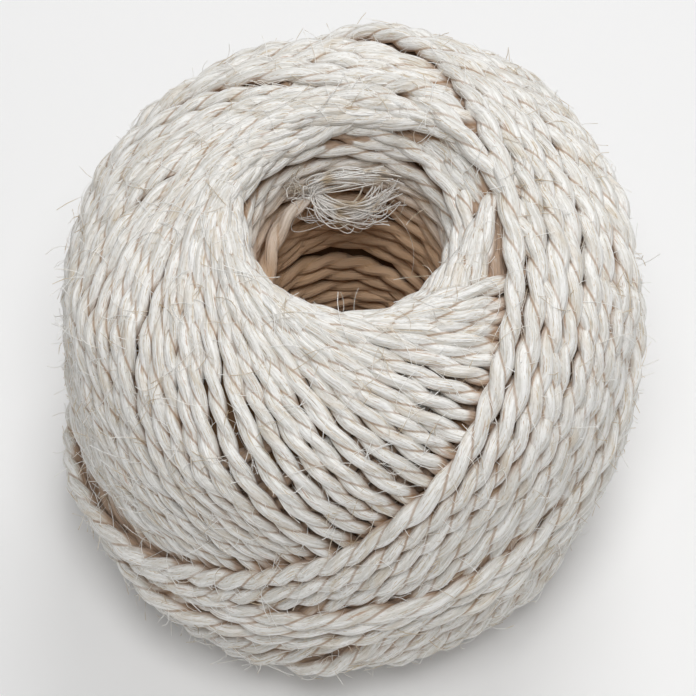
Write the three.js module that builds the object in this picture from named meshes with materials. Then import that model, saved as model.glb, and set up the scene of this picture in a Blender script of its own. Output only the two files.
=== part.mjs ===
// Ball of sisal string, wound round a mandrel that has been drawn out, so that an open hole is
// left through the middle. It stands on one end, with the hole upright.
// Millimetres, +Z up, origin under the ball's centre on the surface it rests on.

import * as THREE from "three";

// Driving dimensions of the wound body
const BALL_RADIUS = 43.2; // half the width of the body, without the band round its waist
const BALL_HALF_HEIGHT = 41; // centre to the top of an end that isn't pressed
const SQUARENESS = 3.5; // 2 is an ellipse, and more is a barrel with full shoulders
const FOOT_DROP = 38.6; // centre to the end that is pressed flat and stood on
const OVAL = 0.025; // the ball is wider by this share along OVAL_AZIMUTH, and narrower across it
const OVAL_AZIMUTH = 46;

// The hole that the mandrel leaves, and the rolled lips at its two mouths
const HOLE_RADIUS = 14.2;
const TOP_LIP = { radius: 20, depth: 6.2 };
const FOOT_LIP = { radius: 19, depth: 5 };
const LEDGE = { rise: 0.9, middle: -4, halfHeight: 12 };

// The string, and how its turns are laid: each is one plane cut through the ball
const STRING_DIAMETER = 2.8;
const TURNS = { tilt: 50.5, mouthClearance: 18 };
const LAST_TURN = { tilt: 41, mouthClearance: 22.9, azimuth: 10 };
const WAIST_BAND = { height: -15.7, halfWidth: 6.2, tilt: 12.4, azimuth: -50, rise: 1.8 };

// Relief of the laps of string
const LAP_COUNT = 22;
const LAP_RELIEF = 1.1;
const LAST_LAP_RISE = 1.4;
const WALL_GROOVE = 0.8;
const WALL_UNEVEN = 1.1;

// Facets: points round the ball, four to a lap, and steps along its outline
const AROUND = 4 * LAP_COUNT;
const STEPS = { outer: 30, foot: 2, lip: 3, wall: 14 };

// The string's inner end, which lies on the wall of the hole under the top mouth.
// Its centre line, as azimuth, distance from the axis and height.
const LOOSE_END_SIDES = 8;
const LOOSE_END_STEPS = 16;
const LOOSE_END_ROUTE = [
  { azimuth: 262, radius: 12.4, height: 47.0 },
  { azimuth: 242, radius: 12.4, height: 48.4 },
  { azimuth: 221, radius: 12.4, height: 50.4 },
  { azimuth: 200, radius: 12.4, height: 53.2 },
  { azimuth: 179, radius: 12.4, height: 56.6 },
  { azimuth: 158, radius: 12.4, height: 60.2 },
  { azimuth: 137, radius: 12.4, height: 63.4 },
  { azimuth: 114, radius: 12.3, height: 65.4 },
];

const string = new THREE.MeshStandardMaterial({ color: 0xdcd7cd, roughness: 0.8, metalness: 0 });

const radians = THREE.MathUtils.degToRad;
const smooth = (value, low, high) => THREE.MathUtils.smoothstep(value, low, high);

// One lap in section: 1 on its crest and 0 in the groove beside it.
const lobe = (laps) => Math.abs(Math.cos(Math.PI * laps));

// Distance from the ball's centre to the barrel's surface at a latitude.
function barrelReach(latitude) {
  const across = Math.cos(latitude) / BALL_RADIUS;
  const upward = Math.abs(Math.sin(latitude)) / BALL_HALF_HEIGHT;
  return (across ** SQUARENESS + upward ** SQUARENESS) ** (-1 / SQUARENESS);
}

// Height of the barrel's surface over the centre at a distance from the axis, and the reverse.
function barrelHeight(radius) {
  return BALL_HALF_HEIGHT * (1 - (radius / BALL_RADIUS) ** SQUARENESS) ** (1 / SQUARENESS);
}

function barrelRadius(height) {
  return BALL_RADIUS * (1 - (height / BALL_HALF_HEIGHT) ** SQUARENESS) ** (1 / SQUARENESS);
}

// A turn lies in a plane that is tilted and lifted, so that it passes the mouth at its clearance.
function turnLift({ tilt, mouthClearance }) {
  const top = barrelHeight(mouthClearance);
  return top * Math.cos(radians(tilt)) - mouthClearance * Math.sin(radians(tilt));
}

// Angle, seen from above, between a point of the surface and the place where a turn through it
// passes the mouth. Turns run both ways through each point, at plus and minus this angle. Under
// the waist it grows on in the same way, towards the foot's mouth.
function turnSweep(turn, radius, height) {
  const tilt = radians(turn.tilt);
  const lift = turnLift(turn);
  const swing = (across, upward) => {
    const cosine = (upward * Math.cos(tilt) - lift) / (across * Math.sin(tilt));
    return Math.acos(THREE.MathUtils.clamp(cosine, -0.9, 0.9));
  };
  const angle = swing(radius, Math.abs(height));
  return height >= 0 ? angle : 2 * swing(BALL_RADIUS, 0) - angle;
}

// How far a point stands below the plane of the last turn. Its lap covers all that lies there.
function underLastTurn(x, y, z) {
  const tilt = radians(LAST_TURN.tilt);
  const azimuth = radians(LAST_TURN.azimuth);
  const toward = x * Math.cos(azimuth) + y * Math.sin(azimuth);
  return turnLift(LAST_TURN) + toward * Math.sin(tilt) - z * Math.cos(tilt);
}

function bandCover(radius, azimuth, z) {
  const lean = Math.tan(radians(WAIST_BAND.tilt)) * Math.cos(azimuth - radians(WAIST_BAND.azimuth));
  const away = Math.abs(z - WAIST_BAND.height - radius * lean);
  return 1 - smooth(away, WAIST_BAND.halfWidth - 1.5, WAIST_BAND.halfWidth + 1.5);
}

// Relief of the outer surface over the barrel.
function windingRelief(radius, azimuth, z) {
  const x = radius * Math.cos(azimuth);
  const y = radius * Math.sin(azimuth);
  const covered = smooth(underLastTurn(x, y, z), -1.2, 1.2);
  const older = lobe((LAP_COUNT * (azimuth - turnSweep(TURNS, radius, z))) / (2 * Math.PI));
  const newer = lobe((LAP_COUNT * (azimuth + turnSweep(LAST_TURN, radius, z))) / (2 * Math.PI));
  const laps = LAP_RELIEF * (older * (1 - covered) + newer * covered) + LAST_LAP_RISE * covered;
  const band = WAIST_BAND.rise * bandCover(radius, azimuth, z);
  return Math.max(laps - LAP_RELIEF / 2, band);
}

// The ball's outline from the top lip over the outside, the foot and up the hole, as rows with
// a distance from the axis, a height over the centre and the twist of the laps at that height.
function outlineRows() {
  const rows = [];
  const topLatitude = Math.atan2(barrelHeight(TOP_LIP.radius), TOP_LIP.radius);
  const footRadius = barrelRadius(FOOT_DROP);
  const footLatitude = -Math.atan2(FOOT_DROP, footRadius);
  const lastTwist = turnSweep(TURNS, footRadius, -FOOT_DROP);
  const firstTwist = turnSweep(TURNS, TOP_LIP.radius, barrelHeight(TOP_LIP.radius));

  for (let i = 0; i <= STEPS.outer; i++) {
    const latitude = THREE.MathUtils.lerp(topLatitude, footLatitude, i / STEPS.outer);
    const reach = barrelReach(latitude);
    const radius = reach * Math.cos(latitude);
    const z = reach * Math.sin(latitude);
    rows.push({ kind: "outer", radius, z, latitude, twist: turnSweep(TURNS, radius, z) });
  }
  for (let i = 1; i <= STEPS.foot; i++) {
    const radius = THREE.MathUtils.lerp(footRadius, FOOT_LIP.radius, i / STEPS.foot);
    rows.push({ kind: "foot", radius, z: -FOOT_DROP, twist: lastTwist });
  }
  for (let i = 1; i <= STEPS.lip; i++) {
    const turn = (i / STEPS.lip) * (Math.PI / 2);
    const radius = FOOT_LIP.radius - (FOOT_LIP.radius - HOLE_RADIUS) * Math.sin(turn);
    const z = -FOOT_DROP + FOOT_LIP.depth * (1 - Math.cos(turn));
    rows.push({ kind: "lip", radius, z, twist: lastTwist });
  }
  const wallBottom = -FOOT_DROP + FOOT_LIP.depth;
  const wallTop = barrelHeight(TOP_LIP.radius) - TOP_LIP.depth;
  for (let i = 1; i < STEPS.wall; i++) {
    const share = i / STEPS.wall;
    const z = THREE.MathUtils.lerp(wallBottom, wallTop, share);
    const groove = i % 2 ? WALL_GROOVE : 0;
    const twist = THREE.MathUtils.lerp(lastTwist, firstTwist, share);
    rows.push({ kind: "wall", radius: wallRadius(z) + groove, z, twist });
  }
  for (let i = 0; i < STEPS.lip; i++) {
    const turn = (i / STEPS.lip) * (Math.PI / 2);
    const radius = HOLE_RADIUS + (TOP_LIP.radius - HOLE_RADIUS) * (1 - Math.cos(turn));
    const z = wallTop + TOP_LIP.depth * Math.sin(turn);
    rows.push({ kind: "lip", radius, z, twist: firstTwist });
  }
  return rows;
}

// The hole is a little narrower round its middle.
function wallRadius(z) {
  const away = Math.abs(z - LEDGE.middle);
  return HOLE_RADIUS - LEDGE.rise * (1 - smooth(away, LEDGE.halfHeight / 3, LEDGE.halfHeight));
}

function pointOn(row, azimuth) {
  let { radius, z } = row;
  if (row.kind === "outer") {
    const relief = windingRelief(radius, azimuth, z) * smooth(radius, TOP_LIP.radius, TOP_LIP.radius + 5);
    radius += relief * Math.cos(row.latitude);
    z = Math.max(z + relief * Math.sin(row.latitude), -FOOT_DROP);
  }
  if (row.kind === "wall") {
    z += WALL_UNEVEN * Math.sin(azimuth + z);
  }
  const wide = smooth(radius, TOP_LIP.radius, BALL_RADIUS);
  radius *= 1 + OVAL * wide * Math.cos(2 * (azimuth - radians(OVAL_AZIMUTH)));
  return [radius * Math.cos(azimuth), radius * Math.sin(azimuth), z];
}

// A closed skin over the outline rows, whose lines across the rows follow the laps of string.
function ballGeometry() {
  const rows = outlineRows();
  const positions = [];
  for (const row of rows) {
    for (let j = 0; j < AROUND; j++) {
      positions.push(...pointOn(row, (2 * Math.PI * j) / AROUND + row.twist));
    }
  }
  const faces = [];
  rows.forEach((row, i) => {
    const here = i * AROUND;
    const below = ((i + 1) % rows.length) * AROUND;
    for (let j = 0; j < AROUND; j++) {
      const next = (j + 1) % AROUND;
      faces.push(here + j, below + j, below + next);
      faces.push(here + j, below + next, here + next);
    }
  });
  const geometry = new THREE.BufferGeometry();
  geometry.setAttribute("position", new THREE.Float32BufferAttribute(positions, 3));
  geometry.setIndex(faces);
  geometry.computeVertexNormals();
  return geometry;
}

function looseEndGeometry() {
  const points = LOOSE_END_ROUTE.map(({ azimuth, radius, height }) => {
    const turn = radians(azimuth);
    return new THREE.Vector3(radius * Math.cos(turn), radius * Math.sin(turn), height);
  });
  const section = new THREE.Shape();
  for (let k = 0; k < LOOSE_END_SIDES; k++) {
    const turn = (2 * Math.PI * k) / LOOSE_END_SIDES;
    const corner = [(STRING_DIAMETER / 2) * Math.cos(turn), (STRING_DIAMETER / 2) * Math.sin(turn)];
    if (k === 0) section.moveTo(...corner);
    else section.lineTo(...corner);
  }
  section.closePath();
  return new THREE.ExtrudeGeometry(section, {
    steps: LOOSE_END_STEPS,
    bevelEnabled: false,
    extrudePath: new THREE.CatmullRomCurve3(points),
  });
}

function stringBall() {
  const mesh = new THREE.Mesh(ballGeometry(), string);
  mesh.name = "string_ball";
  mesh.position.z = FOOT_DROP;
  return mesh;
}

function looseEnd() {
  const mesh = new THREE.Mesh(looseEndGeometry(), string);
  mesh.name = "loose_end";
  return mesh;
}

const ballOfString = new THREE.Group();
ballOfString.add(stringBall(), looseEnd());

export default ballOfString;
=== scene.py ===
"""A ball of two-ply sisal string, wound by machine round a mandrel and standing on one end.

The string is laid turn by turn over a height field of what lies under it, as the winding arm
lays it. Geometry Nodes then twist its two plies along that course and set the stray fibres.
"""

import math
from collections import namedtuple

import bpy
import numpy as np
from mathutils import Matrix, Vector


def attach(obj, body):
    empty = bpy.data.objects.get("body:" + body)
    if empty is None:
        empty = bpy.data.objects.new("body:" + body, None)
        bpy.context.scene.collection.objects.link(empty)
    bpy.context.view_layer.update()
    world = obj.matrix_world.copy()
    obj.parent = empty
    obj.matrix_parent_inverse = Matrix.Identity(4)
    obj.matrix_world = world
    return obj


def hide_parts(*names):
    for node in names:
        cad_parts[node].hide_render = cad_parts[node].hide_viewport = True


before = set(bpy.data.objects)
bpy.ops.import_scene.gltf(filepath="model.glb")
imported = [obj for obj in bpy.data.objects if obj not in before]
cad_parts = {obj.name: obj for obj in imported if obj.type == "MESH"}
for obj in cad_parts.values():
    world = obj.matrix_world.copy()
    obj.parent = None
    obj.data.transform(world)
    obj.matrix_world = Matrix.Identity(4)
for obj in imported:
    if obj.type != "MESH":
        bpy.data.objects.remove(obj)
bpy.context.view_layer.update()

# The winding is worked out in millimetres about the ball's centre, and metres() places it.
MM = 0.001
FOOT_DROP = 38.6

# The wound body, as in the solids
BALL_RADIUS = 43.2
BALL_HALF_HEIGHT = 41.0
SQUARENESS = 3.5
OVAL = 0.025
OVAL_AZIMUTH = math.radians(46)
HOLE_RADIUS = 14.2
TOP_LIP_RADIUS, TOP_LIP_DEPTH = 20.0, 6.2
FOOT_LIP_RADIUS, FOOT_LIP_DEPTH = 19.0, 5.0

# The string
STRING_RADIUS = 1.4
PLY_RADIUS = 0.97
PLY_OFFSET = 0.45
SECTION_POINTS = 12
TWIST_LENGTH = 11.5
RELIEF_DEPTH = 0.42
# The outer turns are drawn less tight than those under them, so they stay thicker
LOOSER_FROM_TURN = 58
LOOSER_SWELL = 0.19
LOOSENING_RUN = 200
STEP = 1.0
RING_STEP = 1.2

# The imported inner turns: their depth under the turns that show and behind the hole's wall, and
# the slope of their ends
CORE_DEPTH = 3.3
CORE_BEHIND_WALL = 1.8 * STRING_RADIUS
CORE_END_SLOPE = 1.6

# How the string packs: a crossing is flatter than round, and turns side by side share a layer
LAYER_HALF = 1.12
LATERAL_REACH = 1.3
SAME_LAYER_TURNS = 12
SAME_LAYER_COSINE = 0.9
NEWEST_RISES = 0.25
TAUT_REACH = 14
# It is laid this many steps at a time, and sinks into what it lies on by this much at most
LAID_AT_ONCE = 200
MOST_SUNK = 0.25

Stage = namedtuple("Stage", "turn azimuth tilt lift")


def end_height(radius):
    """Height of the barrel's end over the centre, at a distance from the axis."""
    return BALL_HALF_HEIGHT * (1 - (radius / BALL_RADIUS) ** SQUARENESS) ** (1 / SQUARENESS)


def mouth_lift(tilt, clearance):
    """Lift of the plane of a turn that passes the hole's mouth at this distance from the axis."""
    angle = math.radians(tilt)
    return end_height(clearance) * math.cos(angle) - clearance * math.sin(angle)


def past_mouth(turn, azimuth, tilt, clearance):
    """A stage that passes the hole's mouth at this distance from the axis."""
    return Stage(turn, azimuth, tilt, mouth_lift(tilt, clearance))


def round_waist(turn, azimuth, tilt, height):
    """A stage whose highest point on the waist has this height."""
    angle = math.radians(tilt)
    lift = height * math.cos(angle) - (BALL_RADIUS + STRING_RADIUS) * math.sin(angle)
    return Stage(turn, azimuth, tilt, lift)


# The first turns, which line the hole. They start and end a gap short of the ball's ends, and
# bulge inward at one height.
RING_PITCH = 2.7
RING_OFFSET = 0.96 * STRING_RADIUS
RING_END_GAP = 2.4
RING_PAST_LIP = 3.0
BULGE, BULGE_HEIGHT = 0.9, -4.0

# The course of the string over the foot's half, which is laid first: the number of a turn, the
# azimuth at which it passes the mouth, its tilt, and its distance from the axis there
FOOT_COURSE = [
    past_mouth(0, 400, 50.0, 18.0),
    past_mouth(18, 310, 48.0, 19.5),
    past_mouth(36, 218, 51.5, 17.0),
    past_mouth(54, 128, 49.0, 18.6),
    past_mouth(72, 35, 50.5, 17.6),
]

# The last lap, and the turns laid side by side over the right flank before it
LAST_LAP_AZIMUTH = 10
LAST_LAP_TILT = 41.0
LAST_LAP_CLEARANCE = 22.9
LAST_LAP_LIFT = mouth_lift(LAST_LAP_TILT, LAST_LAP_CLEARANCE)
FLANK_TURNS = 7.2
FLANK_PITCH = 3.0

# The course over the top half, down to the last turns round the waist
TOP_COURSE = [
    past_mouth(0, 436, 51.0, 17.0),
    past_mouth(10, 384, 50.0, 18.6),
    past_mouth(13, 369, 49.0, 21.6),
    past_mouth(16, 354, 49.0, 22.6),
    past_mouth(21, 331, 50.0, 17.8),
    past_mouth(22, 281, 51.0, 17.4),
    past_mouth(31, 219, 50.0, 16.4),
    past_mouth(40.5, 165, 50.5, 17.6),
    past_mouth(50, 112, 50.0, 16.2),
    past_mouth(57, 72, 47.0, 18.6),
    past_mouth(59, 36, 43.0, 21.0),
    past_mouth(59.6, 32, 43.0, 21.4),
    past_mouth(60.2, 74, 44.0, 34.0),
    past_mouth(63, 62, 45.0, 23.0),
    Stage(63.8, 22, 42.0, LAST_LAP_LIFT - FLANK_TURNS * FLANK_PITCH),
    past_mouth(71, LAST_LAP_AZIMUTH, LAST_LAP_TILT, LAST_LAP_CLEARANCE),
    past_mouth(71.42, 8, LAST_LAP_TILT, LAST_LAP_CLEARANCE),
    round_waist(72, -50, 13.0, -1.0),
    round_waist(73, -56, 12.0, -4.4),
    round_waist(74, -50, 12.0, -7.8),
    round_waist(74.9, -44, 13.0, -10.6),
]

# The top's turns count on from here, so that none is taken for one of the foot's half
TOP_FROM_TURN = 1000
# The string's outer end is tucked in over these last steps
TUCKED_STEPS, TUCK_DEPTH = 25, 3.2
STEPS_IN_PIECE = 7400

# Each turn strays a little from its course, as the string is laid by an arm that shakes
STRAY_LIFT = 0.24
BUNCH_LIFT = 0.32
BUNCH_TURNS = 5.3
STEADY_TURNS = 4
STEADYING_TURNS = 3

# The wound form, as in the solids: what the last lap covers stands out by its rise, and so does
# the band of turns round the waist
LAST_LAP_RISE, LAST_LAP_EDGE = 1.4, 1.2
BAND_HEIGHT, BAND_HALF_WIDTH, BAND_RISE, BAND_EDGE = -15.7, 6.2, 1.8, 1.5
BAND_TILT = math.radians(12.4)
BAND_AZIMUTH = math.radians(-50)
FORM_SPREAD = 7.0
# The form's surface runs along the crests of the strands, over their mean height by this much
CREST_OVER_MEAN = 1.1

# The string's inner end, on the wall of the hole: its centre line as azimuth, distance from the
# axis and height over the foot. The same route is in the solids. It frays at its end.
LOOSE_END_ROUTE = [
    (262, 12.4, 47.0),
    (242, 12.4, 48.4),
    (221, 12.4, 50.4),
    (200, 12.4, 53.2),
    (179, 12.4, 56.6),
    (158, 12.4, 60.2),
    (137, 12.4, 63.4),
    (114, 12.3, 65.4),
]
FRAYED_LENGTH = 5.0

# The tuft at the end of the loose end, about the ball's centre: where its fibres start, and for
# each spray their number and thickness, and the places and spread of their middles and ends
TUFT_ROOT = (-5.2, 11.3, 26.8)
Spray = namedtuple("Spray", "fibres thickness middle middle_spread end end_spread")
TUFT_SPRAYS = [
    Spray(44, 1.9, (1.2, 9.4, 24.6), (1.3, 0.6, 1.0), (6.4, 11.0, 27.6), (1.5, 1.0, 2.0)),
    Spray(9, 3.8, (0.6, 9.8, 25.0), (0.8, 0.4, 0.5), (4.6, 11.0, 27.2), (1.4, 0.8, 1.0)),
    Spray(18, 1.7, (-1.0, 8.8, 23.4), (1.6, 0.7, 1.3), (2.4, 9.4, 23.0), (1.8, 1.0, 1.2)),
    Spray(9, 1.5, (-6.8, 9.8, 24.0), (1.4, 0.7, 1.6), (-3.0, 9.2, 24.2), (1.4, 0.7, 1.4)),
    Spray(12, 1.8, (-2.6, 11.0, 29.6), (1.5, 0.6, 0.8), (4.0, 11.6, 29.4), (2.0, 0.8, 1.0)),
    Spray(16, 1.8, (-7.4, 10.8, 28.6), (1.2, 0.6, 1.2), (-8.4, 9.8, 32.0), (1.4, 0.8, 1.4)),
    Spray(18, 1.9, (-3.6, 11.4, 31.0), (1.6, 0.6, 0.9), (3.0, 11.6, 31.6), (2.2, 0.8, 1.2)),
]
# Single fibres that stand out, each by its start, middle and end
LONE_FIBRES = [
    ((4.5, 10.6, 26.0), (11.6, 8.4, 21.0), (9.6, 5.4, 12.2)),
    ((-7.8, 9.4, 27.6), (-6.6, 7.4, 20.6), (-3.4, 9.0, 25.0)),
    ((3.8, 10.6, 27.0), (7.6, 7.6, 19.2), (8.6, 9.8, 28.2)),
    ((14.2, -7.0, 33.2), (9.6, -7.8, 34.6), (6.6, -7.6, 33.0)),
    ((13.0, -8.4, 32.6), (12.0, -6.2, 35.0), (10.8, -6.6, 35.4)),
    ((-6.9, -12.4, 33.6), (-7.0, -12.3, 35.2), (-7.5, -11.9, 35.6)),
    ((-5.6, -12.9, 33.4), (-6.1, -12.6, 34.6), (-6.4, -12.2, 35.6)),
    ((-4.6, -13.0, 33.4), (-4.4, -12.8, 34.6), (-5.0, -12.4, 34.9)),
    ((-0.7, -13.4, 33.6), (-0.4, -12.8, 35.6), (-1.1, -12.2, 37.3)),
    ((0.9, -13.4, 33.6), (0.7, -12.8, 36.0), (1.5, -12.0, 38.0)),
    ((11.9, 5.4, 32.4), (9.6, 5.0, 31.0), (8.6, 2.6, 31.8)),
]
FIBRE_RADIUS = 0.065
STRAY_FIBRE_RADIUS = 0.052
# A stray fibre's shapes, lying along x with z outward: each by its start, middle and end
STRAY_SHAPES = [
    ((-2.9, 0.0, -0.4), (0.0, 1.3, 0.9), (3.0, 0.2, -0.2)),
    ((-3.4, 0.4, -0.3), (0.4, -1.6, 0.7), (3.6, 0.6, 0.3)),
    ((-2.2, 0.0, -0.4), (1.6, 1.8, 0.8), (2.9, -0.9, 0.3)),
    ((-3.8, 0.0, -0.2), (0.4, 1.0, 0.5), (4.2, -0.3, 0.1)),
    ((-1.6, 0.0, -0.5), (0.9, 0.5, 0.7), (2.4, -0.7, 0.7)),
]
STRAY_FIBRES_PER_CM2 = 17.5
# None of them roots lower than this over the surface that the ball stands on
FIBRES_FROM_HEIGHT = 2.5
# The string that is pressed against that surface fills this height
PRESSED_HEIGHT = 0.3

# Painted crevice shade: the string is painted darker and tan where it lies under the turns round
# it. The shade starts this far over the mean of the outermost places, in cells of this angle, and
# is darkest this far under its start. In the hole it starts behind the wall.
CREVICE_CELL = math.radians(1.2)
CREVICE_START, CREVICE_DEPTH = 0.5, 2.6
HOLE_CREVICE_START, HOLE_CREVICE_DEPTH = 0.3, 2.2

# The photograph's view
CAMERA_ELEVATION = math.radians(60)
CAMERA_DISTANCE = 0.5
CAMERA_SENSOR = 36.0
PICTURE_SIZE = 696
PIXELS_PER_MM = 6.42

# The studio, in metres and watts, apart from the floor, in millimetres
Lamp = namedtuple("Lamp", "name place size power")
LAMPS = [
    Lamp("key_over_the_back", (0.16, 0.42, 0.72), 0.45, 2.2),
    Lamp("fill_from_the_front", (0.5, -0.6, 0.7), 0.7, 0.15),
    Lamp("light_down_the_hole", (0.02, -0.2, 0.74), 0.3, 2.2),
]
LIT_PLACE = (0, 0, 0.04)
WORLD_LIGHT = 0.335
FLOOR_HALF, FLOOR_GAP = 2000.0, 0.1


def metres(points):
    """Points in millimetres about the ball's centre, placed in the frame."""
    return np.asarray(points, dtype=float) * MM + [0.0, 0.0, FOOT_DROP * MM]


def smooth_step(value, low, high):
    share = np.clip((value - low) / (high - low), 0, 1)
    return share * share * (3 - 2 * share)


def blurred(values, spread, wrap=False):
    """Values averaged along their first axis with a bell of this spread, in steps."""
    reach = int(3 * spread) + 1
    offsets = np.arange(-reach, reach + 1)
    weights = np.exp(-0.5 * (offsets / spread) ** 2)
    weights /= weights.sum()
    index = np.arange(len(values))[:, None] + offsets
    index = index % len(values) if wrap else np.clip(index, 0, len(values) - 1)
    return np.tensordot(values[index], weights, axes=([1], [0]))


def smoothed(grid, spread):
    """A grid blurred along its rows and its columns, which close round the ball."""
    return blurred(blurred(grid, spread).T, spread, wrap=True).T


def run_along(line):
    """How far along a line each of its points lies."""
    return np.concatenate([[0], np.cumsum(np.linalg.norm(np.diff(line, axis=0), axis=1))])


def at_runs(line, run, wanted):
    """The points of a line at these distances along it."""
    return np.stack([np.interp(wanted, run, line[:, axis]) for axis in range(3)], axis=1)


def round_axis(radius, azimuth, height):
    """Points by their distance from the axis, azimuth and height."""
    return np.stack([radius * np.cos(azimuth), radius * np.sin(azimuth), height], axis=1)


def off_axis(points):
    return np.hypot(points[:, 0], points[:, 1])


def azimuth_of(points):
    return np.arctan2(points[:, 1], points[:, 0])


def fullness(points):
    """1 on the barrel's surface, and less inside it."""
    across = off_axis(points) / BALL_RADIUS
    upward = np.abs(points[:, 2]) / BALL_HALF_HEIGHT
    barrel = (across ** SQUARENESS + upward ** SQUARENESS) ** (1 / SQUARENESS)
    return np.maximum(barrel, -points[:, 2] / FOOT_DROP)


def onto_barrel(starts, directions):
    """Where lines from inside the ball come out through the barrel's surface."""
    low = np.zeros(len(starts))
    high = np.full(len(starts), 2.5 * BALL_RADIUS)
    for _ in range(28):
        middle = (low + high) / 2
        inside = fullness(starts + middle[:, None] * directions) < 1
        low = np.where(inside, middle, low)
        high = np.where(inside, high, middle)
    return starts + low[:, None] * directions


def outward(points):
    """The barrel's outward directions at points on its surface."""
    radius = np.maximum(off_axis(points), 1e-6)
    across = radius ** (SQUARENESS - 1) / BALL_RADIUS ** SQUARENESS
    upward = np.abs(points[:, 2]) ** (SQUARENESS - 1) / BALL_HALF_HEIGHT ** SQUARENESS
    normals = np.stack([points[:, 0] / radius * across, points[:, 1] / radius * across,
                        np.sign(points[:, 2]) * upward], axis=1)
    pressed = points[:, 2] < -FOOT_DROP + 0.01
    normals[pressed] = [0.0, 0.0, -1.0]
    return normals / np.linalg.norm(normals, axis=1, keepdims=True)


def over_barrel(bases, heights):
    """Points at heights over the barrel, with its rolled lips and its oval waist given to them."""
    shaped = bases + heights[:, None] * outward(bases)
    radius = off_axis(bases)
    lips = ((1, TOP_LIP_RADIUS, TOP_LIP_DEPTH), (-1, FOOT_LIP_RADIUS, FOOT_LIP_DEPTH))
    for side, lip_radius, lip_depth in lips:
        share = np.clip((lip_radius - radius) / (lip_radius - HOLE_RADIUS), 0, 0.97)
        drop = lip_depth * (1 - np.sqrt(1 - share ** 2))
        shaped[:, 2] -= np.where(np.sign(bases[:, 2]) == side, side * drop, 0)
    azimuth = azimuth_of(bases)
    wide = smooth_step(radius, TOP_LIP_RADIUS, BALL_RADIUS)
    shaped[:, :2] *= (1 + OVAL * wide * np.cos(2 * (azimuth - OVAL_AZIMUTH)))[:, None]
    return shaped


def course_on_barrel(course, side):
    """The course's line on the barrel at even steps, its headings and the number of its turn."""
    turn, azimuths, tilts, lifts = np.array(course, float).T
    dice = np.random.default_rng(11)
    knots = np.arange(0, turn[-1] + 1, 0.5)
    strays = blurred(dice.normal(0, 2 * STRAY_LIFT, len(knots)), 1.0)
    steady = turn[-1] - STEADY_TURNS

    def line(number):
        azimuth = np.radians(np.interp(number, turn, azimuths))
        tilt = np.radians(np.interp(number, turn, tilts))
        bunch = BUNCH_LIFT * np.sin(2 * math.pi * number / BUNCH_TURNS)
        loose = 1 - smooth_step(number, steady - STEADYING_TURNS, steady)
        lift = np.interp(number, turn, lifts) + loose * (np.interp(number, knots, strays) + bunch)
        normal = round_axis(-np.sin(tilt), azimuth, np.cos(tilt))
        high = round_axis(np.cos(tilt), azimuth, np.sin(tilt))
        level = np.stack([-np.sin(azimuth), np.cos(azimuth), np.zeros_like(azimuth)], 1)
        travel = -2 * math.pi * number
        direction = np.cos(travel)[:, None] * high + np.sin(travel)[:, None] * level
        start = normal * lift[:, None]
        if side < 0:
            start[:, 2] *= -1
            direction[:, 2] *= -1
        return onto_barrel(start, direction)

    number = np.linspace(turn[0], turn[-1], int(360 * np.ptp(turn)))
    run = run_along(line(number))
    even = np.interp(np.arange(0, run[-1], STEP), run, number)
    points = line(even)
    headings = np.gradient(points, axis=0)
    headings /= np.linalg.norm(headings, axis=1, keepdims=True)
    return points, headings, even


def wound_form(bases):
    """How far the ball's wound form stands out over the barrel at points on it."""
    azimuth = azimuth_of(bases)
    radius = off_axis(bases)
    tilt = math.radians(LAST_LAP_TILT)
    toward = radius * np.cos(azimuth - math.radians(LAST_LAP_AZIMUTH))
    under = LAST_LAP_LIFT + toward * np.sin(tilt) - bases[:, 2] * np.cos(tilt)
    covered = smooth_step(under, -LAST_LAP_EDGE, LAST_LAP_EDGE)
    middle = BAND_HEIGHT + radius * np.tan(BAND_TILT) * np.cos(azimuth - BAND_AZIMUTH)
    away = np.abs(bases[:, 2] - middle)
    band = 1 - smooth_step(away, BAND_HALF_WIDTH - BAND_EDGE, BAND_HALF_WIDTH + BAND_EDGE)
    return np.maximum(LAST_LAP_RISE * covered, BAND_RISE * band)


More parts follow.
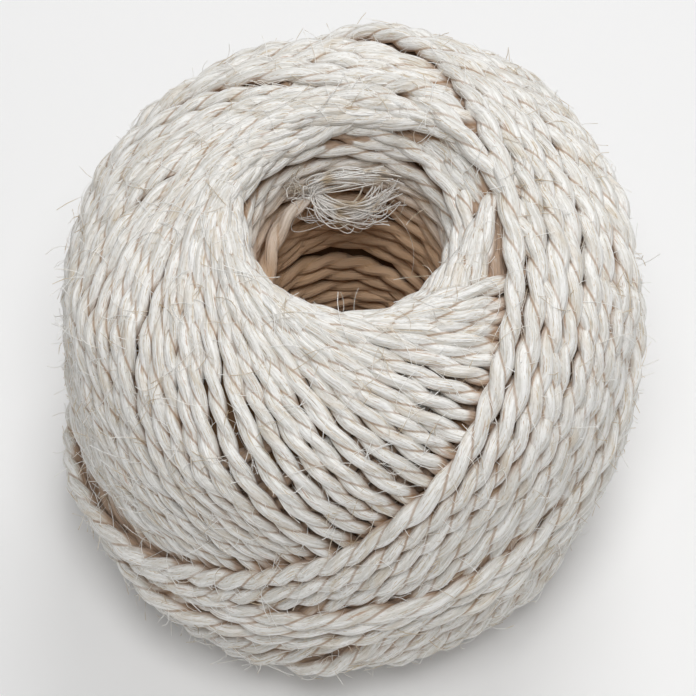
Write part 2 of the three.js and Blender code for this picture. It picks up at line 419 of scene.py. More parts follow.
class LaidString:
    """Heights of the string laid so far over the barrel, on a grid of directions."""

    CELL = math.radians(0.9)
    LATITUDES = math.radians(146)
    ROW_REACH = 3
    COLUMN_REACH = 6

    def __init__(self):
        self.rows = int(self.LATITUDES / self.CELL)
        self.columns = int(2 * math.pi / self.CELL)
        latitude = (np.arange(self.rows) - (self.rows - 1) / 2) * self.CELL
        azimuth = np.arange(self.columns) * self.CELL
        latitude, azimuth = (grid.ravel() for grid in np.meshgrid(latitude, azimuth, indexing="ij"))
        directions = round_axis(np.cos(latitude), azimuth, np.sin(latitude))
        self.places = onto_barrel(np.zeros_like(directions), directions)
        self.top = np.zeros(len(directions))
        self.layer_floor = np.zeros(len(directions))
        self.heading = np.zeros((len(directions), 3))
        self.turn = np.full(len(directions), -1e6)
        rows, columns = np.mgrid[-self.ROW_REACH:self.ROW_REACH + 1,
                                 -self.COLUMN_REACH:self.COLUMN_REACH + 1]
        self.near_rows, self.near_columns = rows.ravel(), columns.ravel()

    def as_grid(self, values):
        return values.reshape(self.rows, self.columns, *values.shape[1:])

    def row_of(self, points):
        latitude = np.arctan2(points[:, 2], off_axis(points))
        return latitude / self.CELL + (self.rows - 1) / 2

    def around(self, points):
        """The cells round each point, and their distances from it."""
        row = np.rint(self.row_of(points)).astype(int)
        column = np.rint(azimuth_of(points) / self.CELL).astype(int)
        rows = np.clip(row[:, None] + self.near_rows, 0, self.rows - 1)
        cells = rows * self.columns + (column[:, None] + self.near_columns) % self.columns
        distances = np.linalg.norm(self.places[cells] - points[:, None, :], axis=2)
        return cells, distances

    def same_layer(self, cells, headings, turns):
        alike = np.abs(np.einsum("ijk,ik->ij", self.heading[cells], headings)) > SAME_LAYER_COSINE
        return alike & (turns[:, None] - self.turn[cells] < SAME_LAYER_TURNS)

    @staticmethod
    def resting(distances, under, elsewhere):
        """Heights over what lies under a string, as its round side falls off from its middle."""
        bulge = LAYER_HALF * np.sqrt(np.clip(1 - (distances / LATERAL_REACH) ** 2, 0, 1))
        return np.where(distances < LATERAL_REACH, under + bulge, elsewhere)

    def support(self, points, headings, turns):
        """The heights at which the string's centre just rests on what lies there."""
        cells, distances = self.around(points)
        beside = self.same_layer(cells, headings, turns)
        top, floor = self.top[cells], self.layer_floor[cells]
        under = np.where(beside, floor + NEWEST_RISES * (top - floor), top)
        return self.resting(distances, under, 0).max(axis=1)

    def lay(self, points, headings, turns, heights):
        """Raises the cells under the string to its top, and notes whose they are."""
        cells, distances = self.around(points)
        beside = self.same_layer(cells, headings, turns)
        new_top = self.resting(distances, heights[:, None], -1)
        floor = np.where(beside, self.layer_floor[cells], self.top[cells])
        owner = np.broadcast_to(np.arange(len(points))[:, None], cells.shape)
        raised = new_top > self.top[cells]
        order = np.argsort(new_top[raised], kind="stable")
        cell = cells[raised][order]
        self.layer_floor[cell] = floor[raised][order]
        self.top[cell] = new_top[raised][order]
        self.heading[cell] = headings[owner[raised][order]]
        self.turn[cell] = turns[owner[raised][order]]

    def pile_under_form(self):
        """What to take from the heights of the pile, so that it has the ball's wound form."""
        pile = smoothed(self.as_grid(self.top), FORM_SPREAD)
        edges = np.array([[TOP_LIP_RADIUS, 0, end_height(TOP_LIP_RADIUS)],
                          [FOOT_LIP_RADIUS, 0, -FOOT_DROP]])
        top, foot = np.rint(self.row_of(edges)).astype(int)
        pile[top:] = pile[top]
        pile[:foot] = pile[foot]
        return pile + CREST_OVER_MEAN - smoothed(self.as_grid(wound_form(self.places)), 1.5)

    def sampled(self, grid, points):
        """A grid's values at points on the barrel, by even steps between its cells."""
        row = np.clip(self.row_of(points), 0, self.rows - 1.001)
        column = azimuth_of(points) / self.CELL % self.columns
        i, j = row.astype(int), column.astype(int) % self.columns
        u, v = row - i, column - np.floor(column)
        after = (j + 1) % self.columns
        lower = grid[i, j] * (1 - v) + grid[i, after] * v
        upper = grid[i + 1, j] * (1 - v) + grid[i + 1, after] * v
        return lower * (1 - u) + upper * u


def drawn_taut(heights):
    """The heights of a string under tension, which spans the dips between what carries it."""
    taut = heights.copy()
    padded = np.pad(heights, TAUT_REACH, mode="edge")
    count = len(heights)
    for back in range(1, TAUT_REACH + 1):
        behind = padded[TAUT_REACH - back:TAUT_REACH - back + count]
        for ahead in range(1, TAUT_REACH + 1):
            before = padded[TAUT_REACH + ahead:TAUT_REACH + ahead + count]
            sag = back * ahead * STEP ** 2 / (2 * BALL_RADIUS)
            taut = np.maximum(taut, (ahead * behind + back * before) / (back + ahead) - sag)
    return taut


def lay_course(laid, course, side, first_turn):
    """Lays a course over what is there. Gives its line on the barrel, its heights and turns."""
    points, headings, numbers = course_on_barrel(course, side)
    turns = numbers + first_turn
    heights = np.zeros(len(points))
    for start in range(0, len(points), LAID_AT_ONCE):
        end = min(start + LAID_AT_ONCE, len(points))
        ahead = min(end + TAUT_REACH, len(points))
        behind = max(start - TAUT_REACH, 0)
        need = laid.support(points[start:ahead], headings[start:ahead], turns[start:ahead])
        whole = np.concatenate([heights[behind:start], need])
        whole = np.maximum(blurred(drawn_taut(whole), 1.6), whole - MOST_SUNK)
        heights[start:end] = whole[start - behind:end - behind]
        laid.lay(points[start:end], headings[start:end], turns[start:end], heights[start:end])
    return points, heights, turns


def placed_course(laid, pile, points, heights):
    """The string's centre line, with its pile brought to the ball's wound form."""
    centres = over_barrel(points, heights - laid.sampled(pile, points))
    centres[:, 2] = np.maximum(centres[:, 2], -FOOT_DROP + 0.8 * STRING_RADIUS)
    return blurred(centres, 1.2)


def shown_runs(laid, points, heights):
    """Stretches of a course that aren't buried under two later layers."""
    cells, distances = laid.around(points)
    over = np.where(distances < LATERAL_REACH, laid.top[cells], np.inf).min(axis=1)
    buried = over - heights > 4.0 * LAYER_HALF
    shown = blurred((~buried).astype(float), 3.0) > 0.02
    edges = np.flatnonzero(np.diff(np.concatenate([[0], shown.astype(int), [0]])))
    return [(a, b) for a, b in edges.reshape(-1, 2) if b - a > 6]


class Value:
    """A socket of a node tree. Arithmetic on it adds Math nodes to the tree."""

    def __init__(self, graph, socket):
        self.graph = graph
        self.socket = socket

    def math(self, operation, *terms):
        return self.graph.add("ShaderNodeMath", {"operation": operation}, list(terms))

    def __add__(self, other):
        return self.math("ADD", self, other)

    def __radd__(self, other):
        return self.math("ADD", other, self)

    def __sub__(self, other):
        return self.math("SUBTRACT", self, other)

    def __rsub__(self, other):
        return self.math("SUBTRACT", other, self)

    def __mul__(self, other):
        return self.math("MULTIPLY", self, other)

    def __abs__(self):
        return self.math("ABSOLUTE", self)

    def root(self):
        return self.math("SQRT", self)

    def ramp(self, low, high):
        """0 at low and 1 at high, with a smooth start and end."""
        inputs = {"Value": self, "From Min": low, "From Max": high}
        return self.graph.add("ShaderNodeMapRange", {"interpolation_type": "SMOOTHSTEP"}, inputs)


class Graph:
    """A node tree that is built by calls."""

    def __init__(self, tree):
        self.tree = tree

    def fill(self, node, inputs):
        """Gives a node's sockets their values or links, by order or by name."""
        for name, given in enumerate(inputs) if isinstance(inputs, list) else inputs.items():
            socket = self.socket(node.inputs, name)
            if isinstance(given, Value):
                self.tree.links.new(given.socket, socket)
            else:
                socket.default_value = given

    def add(self, kind, settings=None, inputs=None, output=0):
        """Adds a node: its settings first, then its inputs. Gives one output."""
        node = self.tree.nodes.new(kind)
        for name, setting in (settings or {}).items():
            setattr(node, name, setting)
        self.fill(node, inputs or {})
        return Value(self, self.socket(node.outputs, output))

    @staticmethod
    def socket(sockets, name):
        if isinstance(name, int):
            return sockets[name]
        by_identifier = [socket for socket in sockets if socket.identifier == name]
        return by_identifier[0] if by_identifier else sockets[name]

    def mix(self, factor, first, second):
        inputs = {"Factor_Float": factor, "A_Color": first, "B_Color": second}
        return self.add("ShaderNodeMix", {"data_type": "RGBA"}, inputs, "Result_Color")

    def vector(self, x, y, z):
        return self.add("ShaderNodeCombineXYZ", {}, [x, y, z])

    def split(self, vector, names="XYZ"):
        """The parts of a vector."""
        parts = self.add("ShaderNodeSeparateXYZ", {}, {"Vector": vector}).socket.node.outputs
        return [Value(self, parts[name]) for name in names]

    def noise(self, place, scale, detail):
        inputs = {"Vector": place, "Scale": scale, "Detail": detail}
        return self.add("ShaderNodeTexNoise", {}, inputs, "Fac")

    def attribute(self, name, output):
        return self.add("ShaderNodeAttribute", {"attribute_name": name}, {}, output)

    def object_place(self):
        return self.add("ShaderNodeTexCoord", {}, {}, "Object")

    def circle(self, points, radius):
        inputs = {"Resolution": points, "Radius": radius}
        return self.add("GeometryNodeCurvePrimitiveCircle", {"mode": "RADIUS"}, inputs)

    def random(self, low, high, seed):
        inputs = {"Min_001": low, "Max_001": high, "Seed": seed}
        return self.add("FunctionNodeRandomValue", {"data_type": "FLOAT"}, inputs, "Value_001")

    def carried(self, name):
        """A number that the points of a curve carry."""
        return self.add("GeometryNodeInputNamedAttribute", {"data_type": "FLOAT"}, {"Name": name})

    def stored(self, geometry, kind, name, value):
        inputs = {"Geometry": geometry, "Name": name, "Value": value}
        settings = {"data_type": kind, "domain": "POINT"}
        return self.add("GeometryNodeStoreNamedAttribute", settings, inputs)

    def turned(self, rotation, axis, angle):
        """A rotation that is then turned about one of its own axes."""
        turn = self.add("FunctionNodeAxisAngleToRotation", {}, {"Axis": axis, "Angle": angle})
        settings = {"rotation_space": "LOCAL"}
        return self.add("FunctionNodeRotateRotation", settings, [rotation, turn])


def linear(red, green, blue):
    """A screen colour, from 0 to 255, as the linear colour that a shader takes."""
    def channel(level):
        share = level / 255
        return share / 12.92 if share <= 0.04045 else ((share + 0.055) / 1.055) ** 2.4

    return (channel(red), channel(green), channel(blue), 1.0)


BLEACHED = linear(228, 225, 218)
SILVERED = linear(255, 254, 251)
STRAW = linear(208, 190, 162)
RUSTY = linear(178, 130, 90)
SHADED_FIBRE = linear(160, 138, 112)
# Painted shade: the tan of the crevices between the plies and under the turns round
CREVICE_SHADE = linear(172, 134, 98)
# Painted shade: the warm brown of the string and its fibres deep in the hole
HOLE_SHADE_TINT = linear(226, 184, 140)
# Painted shade: the inner turns, seen only in the gaps between the outer ones, are painted darker
# brown
INNER_SHADE_TONES = (linear(156, 122, 88), linear(118, 88, 60))
FLOOR_TONES = (linear(250, 250, 250), linear(246, 246, 246))


def shader_graph(name):
    material = bpy.data.materials.new(name)
    material.use_nodes = True
    return material, Graph(material.node_tree)


def set_surface(graph, inputs):
    nodes = graph.tree.nodes
    surface = next(node for node in nodes if node.bl_idname == "ShaderNodeBsdfPrincipled")
    graph.fill(surface, inputs)


def hole_shade(graph, place):
    """The share of painted shade: 1 on the wall deep in the hole and 0 outside, from Object
    coordinates.
    """
    x, y, z = graph.split(place)
    radius = (x * x + y * y).root()
    inside = 1 - radius.ramp((HOLE_RADIUS + 1.0) * MM, (TOP_LIP_RADIUS - 1.0) * MM)
    depth = 1 - z.ramp((FOOT_DROP + 15) * MM, (FOOT_DROP + 35) * MM)
    return inside * depth


def sisal_string_material():
    """Two plies of silky sisal: bleached, with straw and rusty fibres, and painted tan shade in
    crevices.
    """
    material, graph = shader_graph("sisal_string")
    across, over = graph.split(graph.attribute("ply_place", "Vector"), "XY")
    twist = graph.attribute("twist", "Fac")
    # Shares of painted shade: in the crevices under the turns round, and deep in the hole
    crevice_shade = graph.attribute("crevice_shade", "Fac")
    in_hole_shade = hole_shade(graph, graph.object_place())

    # Each ply's own section, turned back by the twist, so that its fibres follow it
    run = twist * (TWIST_LENGTH / (2 * math.pi))
    side = across.math("SIGN", across)
    off_ply = abs(across) - PLY_OFFSET
    over_ply = over * side
    cosine = twist.math("COSINE", twist)
    sine = twist.math("SINE", twist)
    in_x = off_ply * cosine - over_ply * sine + side * 7.0
    in_y = off_ply * sine + over_ply * cosine

    def grain(x, y, along, detail=2.0):
        return graph.noise(graph.vector(x, y, run * along), 1.0, detail)

    coarse = grain(in_x * 2.4, in_y * 2.4, 0.13, 3.0)
    fine = grain(in_x * 5.5, in_y * 5.5, 0.24)
    hair = grain(in_x * 9.0, in_y * 9.0, 0.5)
    patch = grain(across * 0.5, over * 0.5, 0.11)
    fleck = grain(in_x * 2.2 + 31.0, in_y * 2.2, 0.2)
    # Painted shade along the seam between the two plies, where they meet
    ply_seam_shade = (1 - abs(across).ramp(0.05, 0.32)) * (0.35 + patch.ramp(0.3, 0.6) * 0.65)

    colour = graph.mix(coarse.ramp(0.36, 0.62), BLEACHED, SILVERED)
    for share, shade in (
        (patch.ramp(0.52, 0.78) * 0.45, STRAW),
        (fleck.ramp(0.66, 0.74) * 0.6, RUSTY),
        ((1 - fine.ramp(0.34, 0.4)) * 0.75, STRAW),
        ((1 - hair.ramp(0.3, 0.42)) * 0.35, SHADED_FIBRE),
        # Painted shade: tan in the ply seams and in the crevices under the turns round, warm brown
        # deep in the hole
        (ply_seam_shade * 0.7, CREVICE_SHADE),
        (crevice_shade.ramp(0.13, 0.62) * 0.78, CREVICE_SHADE),
        (in_hole_shade * 0.85, HOLE_SHADE_TINT),
    ):
        colour = graph.mix(share, colour, shade)

    relief = coarse * 0.6 + fine * 0.5 + hair * 0.25
    inputs = {"Strength": 1.0, "Distance": RELIEF_DEPTH * MM, "Height": relief}
    bump = graph.add("ShaderNodeBump", {}, inputs, "Normal")
    set_surface(graph, {"Base Color": colour, "Roughness": 0.5 + coarse * 0.3, "Normal": bump,
                        "Sheen Weight": 0.15, "Sheen Roughness": 0.4, "Specular IOR Level": 0.4})
    return material


def loose_fibre_material():
    """Single fibres: pale, with a few straw ones, and a little painted shade in the hole."""
    material, graph = shader_graph("loose_fibre")
    place = graph.object_place()
    tone = graph.noise(place, 260.0, 1.0)
    colour = graph.mix(tone.ramp(0.45, 0.7), SILVERED, STRAW)
    colour = graph.mix(hole_shade(graph, place) * 0.1, colour, HOLE_SHADE_TINT)
    set_surface(graph, {"Base Color": colour, "Roughness": 0.45})
    return material


def mottled_material(name, tones, scale, detail):
    """Two tones that run into each other: the shaded inner string, and the floor."""
    material, graph = shader_graph(name)
    tone = graph.noise(graph.object_place(), scale, detail)
    set_surface(graph, {"Base Color": graph.mix(tone, *tones), "Roughness": 0.9})
    return material


Tree = namedtuple("Tree", "nodes inputs")


def started_tree(name, sockets):
    """A tree with a Geometry input and the named ones, from name to socket type."""
    nodes = bpy.data.node_groups.new(name, "GeometryNodeTree")
    inputs = {}
    for label, kind in {"Geometry": "Geometry", **sockets, "Material": "Material"}.items():
        kind = "NodeSocket" + kind
        inputs[label] = nodes.interface.new_socket(label, in_out="INPUT", socket_type=kind).identifier
    nodes.interface.new_socket("Geometry", in_out="OUTPUT", socket_type="NodeSocketGeometry")
    graph = Graph(nodes)
    given = graph.add("NodeGroupInput").socket.node.outputs
    return Tree(nodes, inputs), graph, [Value(graph, given[i]) for i in range(len(inputs))]


def swept(graph, course, section, **scale):
    """A section swept along a curve, closed at both ends and smooth."""
    inputs = {"Curve": course, "Profile Curve": section, "Fill Caps": True, **scale}
    mesh = graph.add("GeometryNodeCurveToMesh", {}, inputs)
    return graph.add("GeometryNodeSetShadeSmooth", {}, {"Geometry": mesh})


def end_tree(graph, geometry, material):
    geometry = graph.add("GeometryNodeRealizeInstances", {}, {"Geometry": geometry})
    geometry = graph.add("GeometryNodeSetMaterial", {}, {"Geometry": geometry, "Material": material})
    output = graph.tree.nodes.new("NodeGroupOutput")
    graph.tree.links.new(geometry.socket, output.inputs["Geometry"])


def two_ply_tree():
    """Sweeps the section of two plies along a curve, turned by the curve's tilt."""
    sockets = {"Section points": "Int", "Ply radius": "Float", "Ply offset": "Float"}
    tree, graph, given = started_tree("two_ply_string", sockets)
    course, points, ply_radius, ply_offset, material = given
    place = graph.add("GeometryNodeInputPosition")
    x, y = graph.split(place, "XY")
    reach = abs(x) * ply_offset + (ply_radius * ply_radius - ply_offset * ply_offset * y * y).root()
    place_on_plies = graph.vector(x * reach, y * reach, 0.0)
    section = graph.add("GeometryNodeSetPosition", {},
                        {"Geometry": graph.circle(points, 1.0), "Position": place_on_plies})
    in_mm = graph.add("ShaderNodeVectorMath", {"operation": "SCALE"},
                      {"Vector": place, "Scale": 1 / MM})
    section = graph.stored(section, "FLOAT_VECTOR", "ply_place", in_mm)
    course = graph.stored(course, "FLOAT", "twist", graph.carried("tilt"))
    end_tree(graph, swept(graph, course, section, Scale=graph.carried("radius")), material)
    return tree


def fibre_tree():
    """Sweeps a thin round fibre along each curve, as thick as the curve's own radius."""
    tree, graph, (course, thickness, material) = started_tree("single_fibre", {"Thickness": "Float"})
    section = graph.circle(4, thickness)
    end_tree(graph, swept(graph, course, section, Scale=graph.carried("radius")), material)
    return tree


def stray_fibre_tree():
    """Strews short bent fibres over a surface, half sunk in it, each turned its own way."""
    sockets = {"Density": "Float", "Thickness": "Float", "Seed": "Int", "Lowest root": "Float"}
    tree, graph, given = started_tree("stray_fibres", sockets)
    surface, density, thickness, seed, lowest, material = given
    points = graph.add("GeometryNodeDistributePointsOnFaces", {"distribute_method": "RANDOM"},
                       {"Mesh": surface, "Density": density, "Seed": seed})
    rotation = Value(graph, points.socket.node.outputs["Rotation"])
    [height] = graph.split(graph.add("GeometryNodeInputPosition"), "Z")
    too_low = height.math("LESS_THAN", height, lowest)
    points = graph.add("GeometryNodeDeleteGeometry", {"domain": "POINT"},
                       {"Geometry": points, "Selection": too_low})
    rotation = graph.turned(rotation, (0, 0, 1), graph.random(0.0, 2 * math.pi, seed))
    rotation = graph.turned(rotation, (0, 1, 0), graph.random(-0.07, 0.08, 5))
    section = graph.circle(3, thickness)
    joined = graph.tree.nodes.new("GeometryNodeJoinGeometry")
    for shape in STRAY_SHAPES:
        places = {name: tuple(c * MM for c in place)
                  for name, place in zip(("Start", "Middle", "End"), shape)}
        line = graph.add("GeometryNodeCurveQuadraticBezier", {}, {"Resolution": 5, **places})
        inputs = {"Geometry": swept(graph, line, section)}
        fibre = graph.add("GeometryNodeGeometryToInstance", {}, inputs)
        graph.tree.links.new(fibre.socket, joined.inputs[0])
    inputs = {"Points": points, "Instance": Value(graph, joined.outputs[0]), "Pick Instance": True,
              "Rotation": rotation, "Scale": graph.random(0.4, 1.35, 9)}
    end_tree(graph, graph.add("GeometryNodeInstanceOnPoints", {}, inputs), material)
    return tree


def in_scene(name, data):
    """An object at the origin, in the scene."""
    obj = bpy.data.objects.new(name, data)
    bpy.context.scene.collection.objects.link(obj)
    return obj


def in_scene_mesh(name, points, faces, material=None):
    """A mesh object from points about the ball's centre."""
    mesh = bpy.data.meshes.new(name)
    mesh.from_pydata(metres(points).tolist(), [], faces)
    if material:
        mesh.materials.append(material)
    return in_scene(name, mesh)


def in_scene_lines(name, lines):
    """A curve object with a spline for each line, from its points and what they carry."""
    curve = bpy.data.curves.new(name, "CURVE")
    curve.dimensions = "3D"
    for line, carried in lines:
        spline = curve.splines.new("POLY")
        spline.points.add(len(line) - 1)
        spline.points.foreach_set("co", np.c_[metres(line), np.ones(len(line))].ravel())
        for field, values in carried.items():
            spline.points.foreach_set(field, values)
    return in_scene(name, curve)


def made_by(tree, obj, name, settings):
    """A plain mesh object of what a tree makes from an object, with no modifier on it."""
    modifier = obj.modifiers.new(name, "NODES")
    modifier.node_group = tree.nodes
    for setting, value in settings.items():
        modifier[tree.inputs[setting]] = value
    depsgraph = bpy.context.evaluated_depsgraph_get()
    mesh = bpy.data.meshes.new_from_object(obj.evaluated_get(depsgraph))
    mesh.name = name
    made = in_scene(name, mesh)
    bpy.data.objects.remove(obj)
    return made


def twisted_string(name, lines, material, tree, frayed=0.0, looser_from=1e9):
    """One piece of string from its centre lines, each with how far along the string it lies."""
    splines = []
    for line, run in lines:
        rings = max(3, int(round((run[-1] - run[0]) / RING_STEP)) + 1)
        even = np.linspace(run[0], run[-1], rings)
        line, run = at_runs(line, run, even), even
        slack = 2.2 * np.sin(run * 0.041) + 1.1 * np.sin(run * 0.127 + 1.0)
        uneven = 1 + 0.10 * np.sin(run * 0.21) * np.sin(run * 0.083 + 1.7)
        swell = 1 + LOOSER_SWELL * smooth_step(run, looser_from, looser_from + LOOSENING_RUN)
        worn = 0.45 + 0.55 * smooth_step(run[-1] - run, 0, frayed) if frayed else 1.0
        splines.append((line, {"tilt": -2 * math.pi * (run + slack) / TWIST_LENGTH,
                               "radius": uneven * swell * worn}))
    course = in_scene_lines(name + "_course", splines)
    return made_by(tree, course, name, {
        "Section points": SECTION_POINTS, "Ply radius": PLY_RADIUS * MM,
        "Ply offset": PLY_OFFSET * MM, "Material": material})


def hole_rings():
    """The first turns of string, which line the hole and roll out under both lips."""
    wall = HOLE_RADIUS + RING_OFFSET
    wall_top = end_height(TOP_LIP_RADIUS) - TOP_LIP_DEPTH
    rim = FOOT_LIP_RADIUS + RING_PAST_LIP
    roll = np.linspace(0, 1, 12) * math.pi / 2
    foot = np.stack([rim - (rim - wall) * np.sin(roll),
                     RING_END_GAP - FOOT_DROP + (FOOT_LIP_DEPTH - 1) * (1 - np.cos(roll))], axis=1)
    height = np.linspace(foot[-1, 1], wall_top, 40)[1:]
    bulge = BULGE * (1 - smooth_step(abs(height - BULGE_HEIGHT), 4.0, 12.0))
    roll = roll[1:]
    top = np.stack([wall + (TOP_LIP_RADIUS - wall) * (1 - np.cos(roll)),
                    wall_top + (TOP_LIP_DEPTH - RING_END_GAP) * np.sin(roll)], axis=1)
    path = np.concatenate([foot, np.stack([wall - bulge, height], axis=1), top])

    along = run_along(path)
    turns = along[-1] / RING_PITCH
    number = np.linspace(0, turns, int(turns * 100))
    azimuth = 2 * math.pi * number
    swing = 3.4 * np.sin(number * 0.5) + 1.0 * np.sin(number * 2.3 + 1)
    where = number / turns * along[-1] + swing * np.sin(azimuth + number * 0.35)
    where = np.clip(where, 0, along[-1])
    waver = 0.3 * np.sin(number * 5.1) * np.sin(azimuth * 1.5)
    radius = np.interp(where, along, path[:, 0]) + waver
    return round_axis(radius, azimuth, np.interp(where, along, path[:, 1]))


def ring_corners(rings, around):
    """Each point of some rings, the one after it, and the same two on the next ring."""
    here = np.arange(rings * around).reshape(rings, around)
    after = np.roll(here, -1, axis=1)
    return here, after, np.roll(here, -1, axis=0), np.roll(after, -1, axis=0)


def make_core(laid, level, material):
    """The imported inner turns: a closed body round the hole that follows the turns over it."""
    level = smoothed(level, 3.0) - CORE_DEPTH
    bases = laid.as_grid(laid.places)
    wall = HOLE_RADIUS + CORE_BEHIND_WALL
    rows = [row for row in range(laid.rows) if np.hypot(*bases[row, 0, :2]) > wall + 2.5][::-3]
    columns = np.arange(0, laid.columns, 4)
    rings = [over_barrel(bases[row, columns], level[row, columns]) for row in rows]

    def on_wall(ring, rise):
        return round_axis(wall, azimuth_of(ring), ring[:, 2] + rise)

    top, foot = on_wall(rings[0], -CORE_END_SLOPE), on_wall(rings[-1], CORE_END_SLOPE)
    rings = [top, *rings, foot]
    here, after, below, below_after = ring_corners(len(rings), len(columns))
    faces = np.stack([here, below, below_after, after], axis=-1).reshape(-1, 4).tolist()
    return in_scene_mesh("inner_string", np.concatenate(rings), faces, material)


def points_of(piece):
    points = np.empty(len(piece.data.vertices) * 3)
    piece.data.vertices.foreach_get("co", points)
    return points.reshape(-1, 3)


def paint_crevice_shade(pieces):
    """Marks how far each point of the string lies under the turns round it, 0 to 1, as painted shade.
    """
    rows, columns = int(math.pi / CREVICE_CELL), int(2 * math.pi / CREVICE_CELL)
    reach = np.zeros((rows, columns))
    placed = []
    for piece in pieces:
        points = points_of(piece) / MM - [0, 0, FOOT_DROP]
        distance = np.linalg.norm(points, axis=1)
        row = (np.arcsin(points[:, 2] / distance) / CREVICE_CELL + rows / 2).astype(int)
        column = (azimuth_of(points) / CREVICE_CELL).astype(int)
        cell = (np.clip(row, 0, rows - 1), column % columns)
        np.maximum.at(reach, cell, distance)
        placed.append((points, distance, cell))
    level = smoothed(reach, 1.6)
    for piece, (points, distance, cell) in zip(pieces, placed):
        radius = off_axis(points)
        outside = (level[cell] + CREVICE_START - distance) / CREVICE_DEPTH
        within = (radius - HOLE_RADIUS - HOLE_CREVICE_START) / HOLE_CREVICE_DEPTH
        on_wall = (radius < TOP_LIP_RADIUS - 3) & (np.abs(points[:, 2]) < 34)
        crevice_shade = np.clip(np.where(on_wall, within, outside), 0, 1)
        attribute = piece.data.attributes.new("crevice_shade", "FLOAT", "POINT")
        attribute.data.foreach_set("value", crevice_shade.astype(np.float32))


def press_foot(piece):
    """Squeezes a piece where it would reach under the surface that the ball stands on."""
    points = points_of(piece)
    low = PRESSED_HEIGHT * MM
    squeezed = low * np.exp((np.minimum(points[:, 2], low) - low) / low)
    points[:, 2] = np.maximum(points[:, 2], squeezed)
    piece.data.vertices.foreach_set("co", points.ravel())
    piece.data.update()


def set_camera():
    camera = bpy.data.cameras.new("camera")
    camera.sensor_width = CAMERA_SENSOR
    camera.lens = PIXELS_PER_MM * CAMERA_SENSOR * CAMERA_DISTANCE / MM / PICTURE_SIZE
    camera.clip_start = 0.01
    obj = in_scene("camera", camera)
    back = Vector((0, -math.cos(CAMERA_ELEVATION), math.sin(CAMERA_ELEVATION)))
    obj.location = Vector((0, 0, FOOT_DROP * MM)) + back * CAMERA_DISTANCE
    obj.rotation_euler = back.to_track_quat("Z", "Y").to_euler()
    bpy.context.scene.camera = obj


def set_lights():
    for lamp in LAMPS:
        light = bpy.data.lights.new(lamp.name, "AREA")
        light.shape = "DISK"
        light.size = lamp.size
        light.energy = lamp.power
        obj = in_scene(lamp.name, light)
        obj.location = lamp.place
        toward = Vector(LIT_PLACE) - Vector(lamp.place)
        obj.rotation_euler = toward.to_track_quat("-Z", "Y").to_euler()
    world = bpy.data.worlds.new("soft_studio")
    world.use_nodes = True
    background = world.node_tree.nodes["Background"]
    background.inputs["Color"].default_value = (1, 1, 1, 1)
    background.inputs["Strength"].default_value = WORLD_LIGHT
    bpy.context.scene.world = world
    bpy.context.scene.view_settings.view_transform = "Standard"


def make_floor():
    half, height = FLOOR_HALF, -FOOT_DROP - FLOOR_GAP
    corners = [(-half, -half, height), (half, -half, height),
               (half, half, height), (-half, half, height)]
    material = mottled_material("pale_floor", FLOOR_TONES, 3.0, 2.0)
    in_scene_mesh("floor", corners, [(0, 1, 2, 3)], material)


def route_line(route):
    """A smooth line through a given route, at even steps about the ball's centre."""
    azimuth, radius, height = np.array(route).T
    knots = round_axis(radius, np.radians(azimuth), height - FOOT_DROP)
    ends = np.concatenate([[2 * knots[0] - knots[1]], knots, [2 * knots[-1] - knots[-2]]])
    line = []
    for a, b, c, d in zip(ends, ends[1:], ends[2:], ends[3:]):
        for t in np.linspace(0, 1, 24, endpoint=False):
            line.append(0.5 * (2 * b + (c - a) * t + (2 * a - 5 * b + 4 * c - d) * t ** 2
                               + (3 * b - a - 3 * c + d) * t ** 3))
    line = np.array(line + [knots[-1]])
    run = run_along(line)
    even = np.linspace(0, run[-1], int(round(run[-1] / STEP)) + 1)
    return at_runs(line, run, even), run[-1]


def fibres_along(name, lines, material):
    """Loose fibres as one piece, from their lines about the ball's centre and their thickness."""
    splines = [(line, {"radius": thickness * np.linspace(1.0, 0.6, len(line))})
               for line, thickness in lines]
    course = in_scene_lines(name + "_course", splines)
    return made_by(fibre_tree(), course, name, {"Thickness": FIBRE_RADIUS * MM, "Material": material})


def bent_line(start, middle, end):
    share = np.linspace(0, 1, 13)[:, None]
    start, middle, end = (np.array(place, float) for place in (start, middle, end))
    return (1 - share) ** 2 * start + 2 * share * (1 - share) * middle + share ** 2 * end


def kept_in_hole(line):
    """A line moved off the hole's wall wherever it would run into it."""
    inner = HOLE_RADIUS - 0.5
    line[:, :2] *= np.minimum(1, inner / np.maximum(off_axis(line), 0.1))[:, None]
    return line


def make_tuft(material):
    dice = np.random.default_rng(5)
    lines = []
    for spray in TUFT_SPRAYS:
        for _ in range(spray.fibres):
            start = dice.normal(0, 0.45, 3) + TUFT_ROOT
            middle = dice.normal(0, 1, 3) * spray.middle_spread + spray.middle
            end = dice.normal(0, 1, 3) * spray.end_spread + spray.end
            line = bent_line(start, 2 * middle - (start + end) / 2, end)
            lines.append((kept_in_hole(line), spray.thickness))
    return fibres_along("tuft_of_loose_end", lines, material)


def make_stray_fibres(laid, level, material):
    """Fibres that stand off the string all round, strewn over a surface that follows its turns."""
    rows = slice(8, laid.rows - 6)
    depth = smoothed(level, 0.8)[rows].ravel()
    bases = laid.as_grid(laid.places)[rows].reshape(-1, 3)
    points = over_barrel(bases, depth + 0.1)
    here, after, above, above_after = ring_corners(len(points) // laid.columns, laid.columns)
    faces = np.stack([here, after, above_after, above], axis=-1)[:-1].reshape(-1, 4).tolist()
    surface = in_scene_mesh("winding_surface", points, faces)
    return made_by(stray_fibre_tree(), surface, "stray_fibres", {
        "Density": STRAY_FIBRES_PER_CM2 * 1e4, "Thickness": STRAY_FIBRE_RADIUS * MM, "Seed": 3,
        "Lowest root": FIBRES_FROM_HEIGHT * MM, "Material": material})


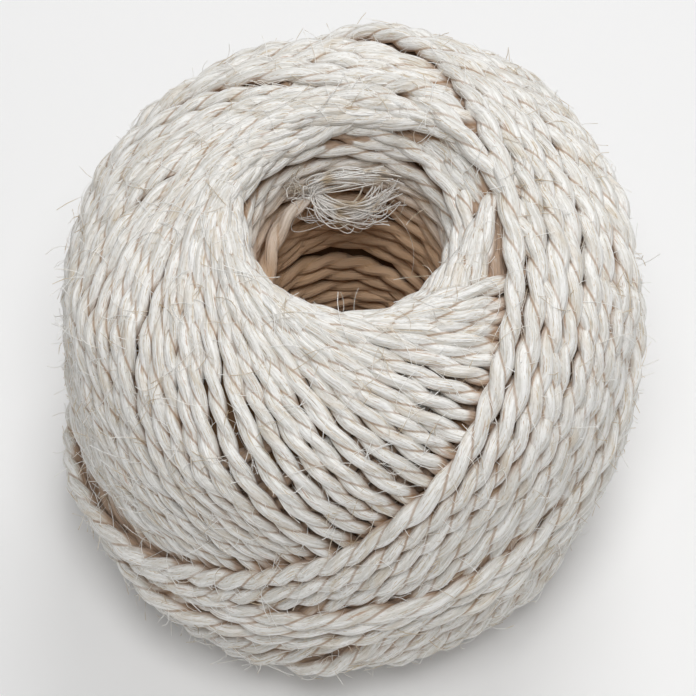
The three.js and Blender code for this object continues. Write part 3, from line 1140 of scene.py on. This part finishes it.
def in_pieces(runs):
    """Stretches of a course gathered into pieces of a few metres each."""
    pieces, piece, used = [], [], 0
    for first, last in runs:
        while first < last:
            end = min(last, first + STEPS_IN_PIECE - used)
            if end - first > 4:
                piece.append((first, end))
            used += end - first
            first = end - 1 if end < last else last
            if used >= STEPS_IN_PIECE:
                pieces.append(piece)
                piece, used = [], 0
    return pieces + [piece] if piece else pieces


def make_ball(material, fibre, tree):
    """All the turns of string, in the order they are wound, with the inner string and strays."""
    laid = LaidString()
    foot = lay_course(laid, FOOT_COURSE, -1, 0)
    top = lay_course(laid, TOP_COURSE, 1, TOP_FROM_TURN)
    pile = laid.pile_under_form()
    rings = hole_rings()
    pieces = [twisted_string("hole_rings", [(rings, run_along(rings))], material, tree)]
    for name, (points, heights, turns) in (("foot_turns", foot), ("top_turns", top)):
        centres = placed_course(laid, pile, points, heights)
        if name == "top_turns":
            steps = np.arange(len(centres)) - len(centres)
            tucked = TUCK_DEPTH * smooth_step(steps, -TUCKED_STEPS, 0)
            centres -= tucked[:, None] * outward(points)
        run = run_along(centres)
        looser_from = np.interp(TOP_FROM_TURN + LOOSER_FROM_TURN, turns, run)
        for number, piece in enumerate(in_pieces(shown_runs(laid, points, heights)), 1):
            lines = [(centres[first:end], run[first:end]) for first, end in piece]
            pieces.append(twisted_string(f"{name}_{number}", lines, material, tree,
                                         looser_from=looser_from))
    level = laid.as_grid(laid.top) - pile
    core = make_core(laid, level, mottled_material("inner_string", INNER_SHADE_TONES, 700.0, 3.0))
    return pieces, core, make_stray_fibres(laid, level, fibre)


set_camera()
two_ply = two_ply_tree()
sisal = sisal_string_material()
fibre = loose_fibre_material()

# The loose inner end, which is the one free cord, and its frayed tuft
loose_line, loose_length = route_line(LOOSE_END_ROUTE)
loose_end = twisted_string("loose_inner_end", [(loose_line, run_along(loose_line))], sisal, two_ply,
                           frayed=FRAYED_LENGTH)
tuft = make_tuft(fibre)
for piece in (loose_end, tuft):
    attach(piece, "root")
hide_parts("loose_end")

# The wound ball
turns, inner, strays = make_ball(sisal, fibre, two_ply)
paint_crevice_shade(turns + [loose_end])
for piece in turns + [inner]:
    press_foot(piece)
    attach(piece, "root")
    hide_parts("string_ball")

lone_fibres = fibres_along("lone_fibres", [(bent_line(*bend), 0.9) for bend in LONE_FIBRES], fibre)
for piece in (strays, lone_fibres):
    press_foot(piece)
    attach(piece, "root")

set_lights()
make_floor()
